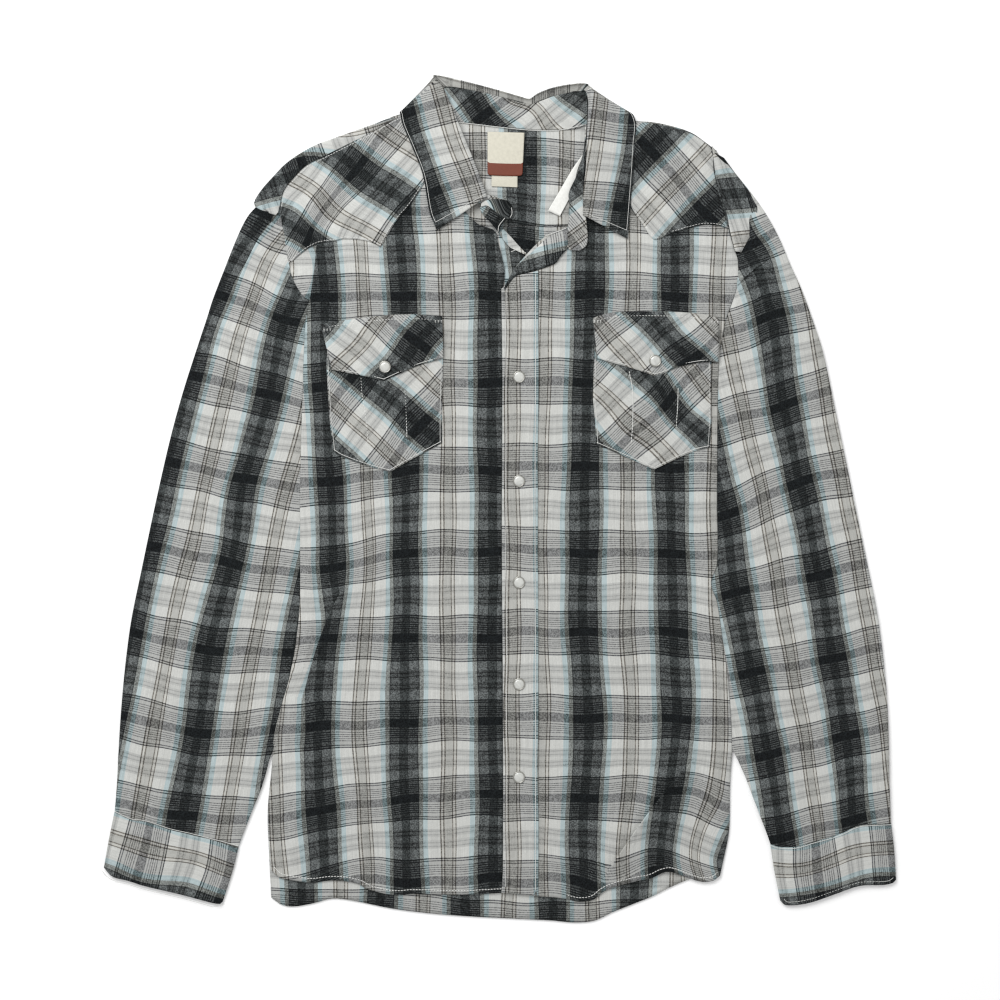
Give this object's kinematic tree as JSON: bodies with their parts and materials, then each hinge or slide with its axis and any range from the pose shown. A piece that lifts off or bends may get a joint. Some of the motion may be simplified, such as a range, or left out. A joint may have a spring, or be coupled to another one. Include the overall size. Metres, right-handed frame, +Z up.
{
  "type": "long-sleeved western snap shirt, laid flat",
  "caption": "Plaid cotton long-sleeved button-up shirt with a point collar, pointed yokes, flap chest pockets and pearl snaps, laid out flat, face up.",
  "frame": {"origin": "on the surface that the shirt lies on, at the centre of its outline", "axes": "+X to the wearer's left, +Y up the body from the hem to the neck, +Z up out of the surface, towards the front of the shirt"},
  "size_m": [0.792, 0.8476, 0.0136],
  "materials": {
    "plaid_cotton": "yarn-dyed brushed plain weave in charcoal, white, pale blue and taupe, soft and matte",
    "thread": "pale polyester sewing thread, slightly glossy",
    "label_satin": "cream woven label, slightly glossy",
    "label_tape": "white coated label tape, smooth",
    "snap_pearl": "pearly cap, glossy",
    "snap_metal": "nickel-plated rim, polished"
  },
  "bodies": {
    "root": {"back_panel": "plaid_cotton", "back_yoke": "plaid_cotton", "front_left": "plaid_cotton", "front_right": "plaid_cotton", "snap_strip": "plaid_cotton", "front_yoke_left": "plaid_cotton", "front_yoke_right": "plaid_cotton", "placket": "plaid_cotton", "placket_turnback": "plaid_cotton", "sleeve_left": "plaid_cotton", "sleeve_right": "plaid_cotton", "cuff_left": "plaid_cotton", "cuff_right": "plaid_cotton", "pocket_left": "plaid_cotton", "pocket_right": "plaid_cotton", "flap_left": "plaid_cotton", "flap_right": "plaid_cotton", "collar_leaf": "plaid_cotton", "collar_stand": "plaid_cotton", "label_main": "label_satin", "label_size": "label_satin", "label_care": "label_tape", "snap_front_1": "snap_pearl", "snap_front_2": "snap_pearl", "snap_front_3": "snap_pearl", "snap_front_4": "snap_pearl", "snap_front_5": "snap_pearl", "snap_flap_right": "snap_pearl", "snap_flap_left": "snap_pearl"}
  },
  "joints": []
}
